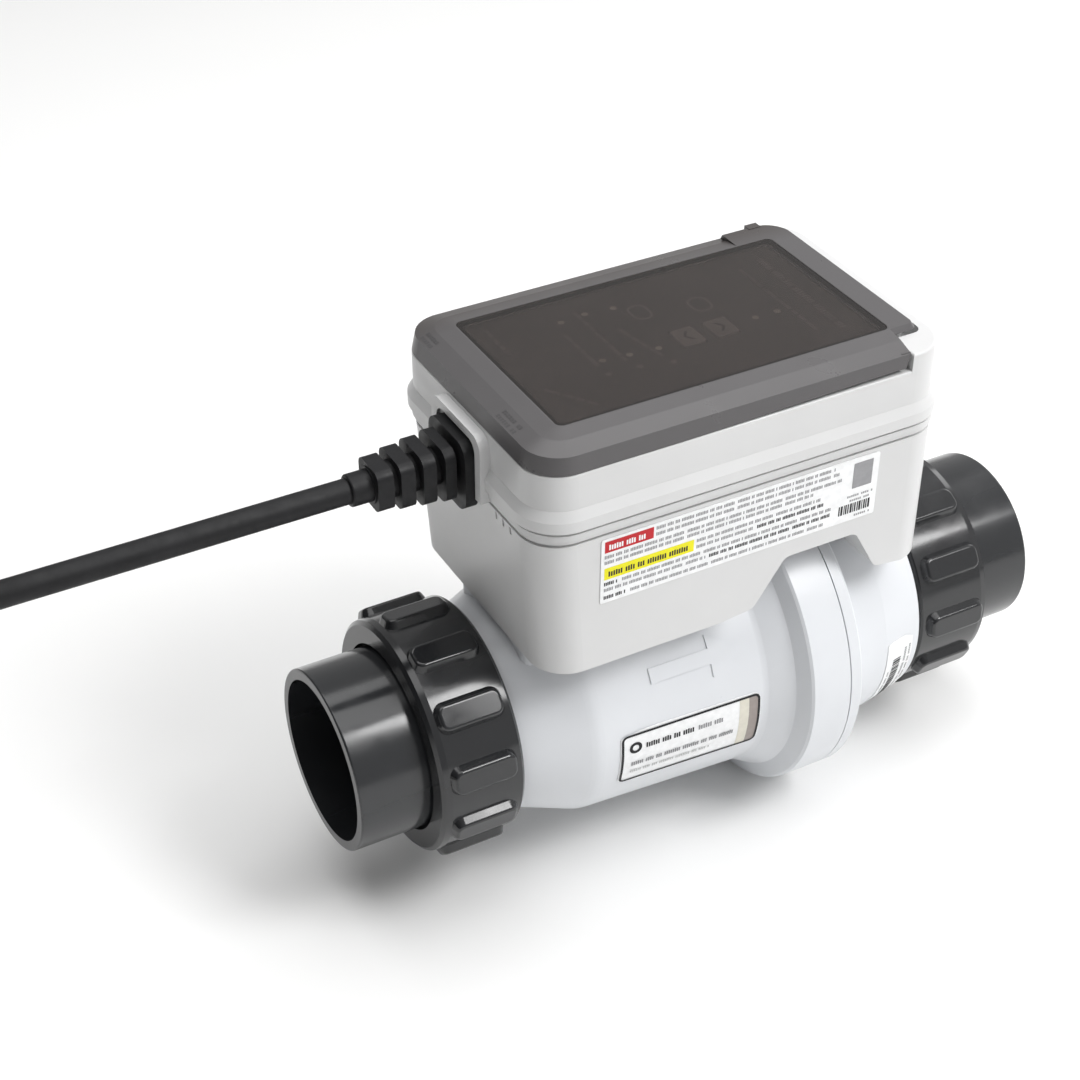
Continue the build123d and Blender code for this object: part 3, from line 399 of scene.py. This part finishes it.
class Print:
    """Flat shapes laid on one surface, joined in one thin mesh.

    lay(u, v, lift) gives the place of the pattern's point (u, v) on the surface, all in mm.
    Shapes are cut in strips along v, so that they follow a curved surface.
    """

    def __init__(self, lay, strip=1.5):
        self.lay = lay
        self.strip = strip
        self.mesh = bmesh.new()
        self.inks = []

    def shape(self, corners, ink, layer=0):
        if ink not in self.inks:
            self.inks.append(ink)
        corner_points = [self.mesh.verts.new((u, v, layer)) for u, v in corners]
        face = self.mesh.faces.new(corner_points)
        face.material_index = self.inks.index(ink)
        parts = [*face.verts, *face.edges, face]
        low = min(v for u, v in corners)
        high = max(v for u, v in corners)
        for i in range(1, int((high - low) / self.strip) + 1):
            cut = (0, low + i * self.strip, 0)
            parts = bmesh.ops.bisect_plane(self.mesh, geom=parts, plane_co=cut, plane_no=(0, 1, 0))["geom"]

    def bar(self, u0, u1, v0, v1, ink, layer=0):
        self.shape([(u0, v0), (u1, v0), (u1, v1), (u0, v1)], ink, layer)

    def border(self, u0, u1, v0, v1, corner, wide, ink, layer=0):
        """A rounded frame, as a chain of short four-sided pieces."""
        outer = rounded_outline(u0, u1, v0, v1, corner)
        inner = rounded_outline(u0 + wide, u1 - wide, v0 + wide, v1 - wide, corner - wide)
        for i in range(len(outer)):
            self.shape([outer[i - 1], outer[i], inner[i], inner[i - 1]], ink, layer)

    def script(self, start, end, tall, ink, pitch=0.7, layer=0):
        """A row of upright strokes in groups: it reads as small print but holds no letters."""
        start = Vector(start)
        along = Vector(end) - start
        count = int(along.length / pitch)
        along.normalize()
        up = Vector((-along.y, along.x))
        for i in range(count):
            if i % 9 == 6 or i % 13 == 11:
                continue
            height = tall * (0.8, 0.7, 0.75)[i % 3]
            foot = start + along * (i * pitch) - up * (tall / 2)
            side = along * (pitch * 0.66)
            self.shape([foot, foot + side, foot + side + up * height, foot + up * height], ink, layer)

    def lay_down(self, name, body):
        for vertex in self.mesh.verts:
            u, v, layer = vertex.co
            vertex.co = Vector(self.lay(u, v, 0.06 + 0.05 * layer)) * MM
        bmesh.ops.recalc_face_normals(self.mesh, faces=self.mesh.faces[:])
        data = bpy.data.meshes.new(name)
        self.mesh.to_mesh(data)
        self.mesh.free()
        for ink in self.inks:
            data.materials.append(ink)
        piece = bpy.data.objects.new(name, data)
        bpy.context.scene.collection.objects.link(piece)
        film = piece.modifiers.new("film", "SOLIDIFY")
        film.thickness = 0.03 * MM
        film.offset = 0.0
        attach(piece, body)


def rounded_outline(u0, u1, v0, v1, corner):
    """Outline points of a rounded rectangle, anticlockwise from the lower right corner."""
    centres = ((u1 - corner, v0 + corner, -90), (u1 - corner, v1 - corner, 0),
               (u0 + corner, v1 - corner, 90), (u0 + corner, v0 + corner, 180))
    points = []
    for u, v, first in centres:
        for turn in range(0, 91, 18):
            angle = radians(first + turn)
            points.append((u + corner * cos(angle), v + corner * sin(angle)))
    return points


def make_name_print():
    """Name label on the barrel: black border, plain ring, three rows and two colour bars."""
    left, right, low, high = 95.4, 153.6, -16.0, 8.4

    def lay(u, v, lift):
        radius = name_r + name_taper * (u - name_x) + label_film + lift
        angle = v / 50
        return (u, -radius * cos(angle), radius * sin(angle))

    name = Print(lay)
    name.bar(right - 9.0, right - 5.0, low + 1.0, high - 1.0, ink_sand)
    name.bar(right - 5.0, right - 1.0, low + 1.0, high - 1.0, ink_taupe)
    name.border(left + 0.4, right - 0.4, low + 0.4, high - 0.4, 2.4, 0.9, ink_black, 3)
    name.border(left + 3.6, left + 8.6, -0.9, 4.1, 2.4, 1.2, ink_black, 1)
    name.script((left + 10.4, 1.6), (left + 30.6, 1.6), 2.8, ink_black, pitch=0.95, layer=1)
    name.script((left + 32.0, 1.6), (left + 43.0, 1.6), 2.6, ink_grey, pitch=0.95, layer=1)
    name.script((left + 4.6, -5.8), (left + 48.0, -5.8), 2.4, ink_grey, pitch=0.85, layer=3)
    name.script((left + 4.6, -10.0), (left + 38.0, -10.0), 1.8, ink_pale, pitch=0.75, layer=3)
    name.lay_down("name_print", "cell")


def make_serial_print():
    """Small label on the outlet's neck: a bar pattern and two thin rows beside it."""
    def lay(u, v, lift):
        radius = serial_r - serial_taper * (u - serial_x) + label_film + lift
        angle = v / 48
        return (u, -radius * cos(angle), radius * sin(angle))

    serial = Print(lay)
    place = -33.5
    for i in range(26):
        wide = (0.5, 0.9, 0.4, 0.7, 1.1)[i % 5]
        serial.bar(216.6, 220.6, place, place + wide, ink_black)
        place += wide + (0.45, 0.6, 0.35)[i % 3]
    serial.script((222.8, -31.0), (222.8, 0.5), 1.4, ink_grey, pitch=0.95)
    serial.script((225.0, -20.0), (225.0, 1.5), 1.2, ink_grey, pitch=0.95)
    serial.script((214.8, -22.0), (214.8, -8.0), 1.0, ink_grey, pitch=0.9)
    serial.lay_down("serial_print", "cell")


def make_plate_print():
    """Plate on the case's front: colour blocks, rows of strokes and a bar pattern, with no meaning."""
    def lay(u, v, lift):
        return (u, plate_front - plate_lean * (v - plate_middle) - lift, v)

    plate = Print(lay, strip=30.0)
    plate.bar(85.6, 104.4, 95.1, 99.7, ink_red)
    plate.script((87.2, 97.4), (103.2, 97.4), 2.7, label_white, pitch=0.95, layer=1)
    plate.bar(85.6, 120.7, 83.9, 88.7, ink_yellow)
    plate.script((87.2, 86.3), (119.5, 86.3), 2.7, ink_black, pitch=0.95, layer=1)
    rows = ((105.4, 178.0, 99.0), (105.4, 180.0, 96.5), (85.6, 182.0, 93.5), (85.6, 169.7, 91.2),
            (121.8, 172.8, 88.0), (121.8, 145.6, 85.4), (92.6, 177.9, 82.3), (85.6, 126.2, 79.8),
            (96.0, 175.0, 76.6))
    for u0, u1, v in rows:
        plate.script((u0, v), (u1, v), 1.7, ink_grey, pitch=0.62)
    heavy_rows = ((146.4, 174.8, 85.4), (85.6, 91.4, 82.3), (127.2, 177.9, 79.8), (85.6, 94.6, 76.6))
    for u0, u1, v in heavy_rows:
        plate.script((u0, v), (u1, v), 1.8, ink_black, pitch=0.66)
    plate.bar(185.8, 194.0, 88.0, 98.6, ink_grey)
    plate.script((184.2, 84.9), (195.4, 84.9), 1.1, ink_grey, pitch=0.85)
    plate.script((185.4, 83.0), (194.4, 83.0), 1.1, ink_grey, pitch=0.85)
    place = 181.0
    for i in range(14):
        wide = (0.5, 0.8, 0.35, 0.6)[i % 4]
        plate.bar(place, place + wide, 77.6, 81.6, ink_black)
        place += wide + (0.4, 0.5, 0.3)[i % 3]
    plate.script((188.0, 76.1), (195.4, 76.1), 1.1, ink_grey, pitch=0.85)
    plate.lay_down("plate_print", "cell")


def make_panel_print():
    """Faint legends of the control panel, under the smoked window."""
    def lay(u, v, lift):
        return (u, v, panel_top + lift)

    legend = Print(lay, strip=60.0)
    columns = (((107.7, 16.2), (107.8, -7.9)), ((118.2, 27.8), (117.7, -9.6)),
               ((126.1, 10.1), (130.4, -12.8)),
               ((85.0, 32.0), (85.0, 13.0)), ((84.5, -11.9), (95.9, -28.7)), ((186.0, 26.4), (186.3, -22.6)))
    for start, end in columns:
        legend.script(start, end, 2.0, legend_brown, pitch=1.0)
    legend.script((196.6, 29.3), (195.5, -27.6), 3.4, legend_brown, pitch=1.5)
    for u, v in ((119.6, -14.4), (107.8, -13.6), (131.2, -17.2)):
        legend.shape([(u - 1.5, v), (u, v - 1.5), (u + 1.5, v), (u, v + 1.5)], legend_brown)
    legend.border(134.4, 142.0, 11.6, 22.2, 3.6, 0.9, legend_brown)
    legend.border(155.6, 163.8, 6.6, 16.8, 3.6, 0.9, legend_brown)
    legend.lay_down("panel_print", "cell")


def make_chevron(name, body, centre, way):
    """A pointer on a key; way is -1 towards the inlet and 1 towards the outlet."""
    def lay(u, v, lift):
        return (centre + u * way, v + key_y, key_top + lift)

    mark = Print(lay, strip=60.0)
    mark.shape([(-1.5, 2.9), (-0.3, 2.9), (1.7, 0.0), (0.5, 0.0)], chevron_brown)
    mark.shape([(-1.5, -2.9), (0.5, 0.0), (1.7, 0.0), (-0.3, -2.9)], chevron_brown)
    mark.lay_down(name, body)


def make_lid_marks():
    """Shallow moulded strokes on the shoulder of the lid's rim by the cable."""
    def lay(u, v, lift):
        return (u, v, 137.2 + 0.35 * (u - 62.0) + lift)

    moulding = Print(lay, strip=60.0)
    for start, end in ((-18.0, -31.0), (38.5, 30.0)):
        for u in (63.6, 66.0):
            moulding.script((u, start), (u, end), 1.7, ghost_grey, pitch=1.4)
    moulding.lay_down("lid_marks", "lid")


make_name_print()
make_serial_print()
make_plate_print()
make_panel_print()
make_chevron("less_chevron", "less_button", key_x["less"], -1)
make_chevron("more_chevron", "more_button", key_x["more"], 1)
make_lid_marks()


# ---- stage -----------------------------------------------------------------------------------------

def area_light(name, place, aim, size, power, colour=(1, 1, 1)):
    data = bpy.data.lights.new(name, "AREA")
    data.shape = "RECTANGLE"
    data.size, data.size_y = size
    data.energy = power
    data.color = colour
    light = bpy.data.objects.new(name, data)
    bpy.context.scene.collection.objects.link(light)
    light.location = place
    light.rotation_mode = "QUATERNION"
    light.rotation_quaternion = (Vector(aim) - Vector(place)).to_track_quat("-Z", "Y")


def make_floor():
    surface = Surface("floor_pale")
    stops = [(0.3, (0.90, 0.90, 0.895)), (0.7, (0.93, 0.93, 0.925))]
    surface.link(surface.colours(surface.noise(2.0), stops), surface.shader.inputs["Base Color"])
    surface.shader.inputs["Roughness"].default_value = 0.9
    data = bpy.data.meshes.new("floor")
    side = 6.0
    height = ground * MM - 0.0002
    corners = [(-side, -side, height), (side, -side, height), (side, side, height), (-side, side, height)]
    data.from_pydata(corners, [], [(0, 1, 2, 3)])
    data.materials.append(surface.material)
    floor = bpy.data.objects.new("floor", data)
    bpy.context.scene.collection.objects.link(floor)


def make_light():
    """A studio that is bright on the outlet's side and dim behind the inlet."""
    world = bpy.data.worlds.new("studio")
    world.use_nodes = True
    tree = world.node_tree
    way = tree.nodes.new("ShaderNodeTexCoord")
    parts = tree.nodes.new("ShaderNodeSeparateXYZ")
    tree.links.new(way.outputs["Generated"], parts.inputs["Vector"])
    fade = tree.nodes.new("ShaderNodeMapRange")
    fade.inputs["From Min"].default_value = -0.9
    fade.inputs["From Max"].default_value = 0.7
    fade.inputs["To Min"].default_value = 0.02
    fade.inputs["To Max"].default_value = 0.72
    tree.links.new(parts.outputs["X"], fade.inputs["Value"])
    tree.links.new(fade.outputs["Result"], tree.nodes["Background"].inputs["Strength"])
    tree.nodes["Background"].inputs["Color"].default_value = (1.0, 1.0, 1.0, 1.0)
    bpy.context.scene.world = world
    area_light("top_softbox", (0.15, 0.15, 1.5), (0.12, 0.0, 0.05), (1.8, 1.4), 16.0)
    area_light("key_softbox", (0.75, -0.80, 1.2), (0.15, 0.0, 0.05), (0.6, 0.6), 15.0)
    area_light("rim_softbox", (1.25, 0.45, 0.55), (0.1, 0.0, 0.05), (0.4, 0.7), 2.5)
    bpy.context.scene.view_settings.view_transform = "Standard"


make_floor()
make_light()
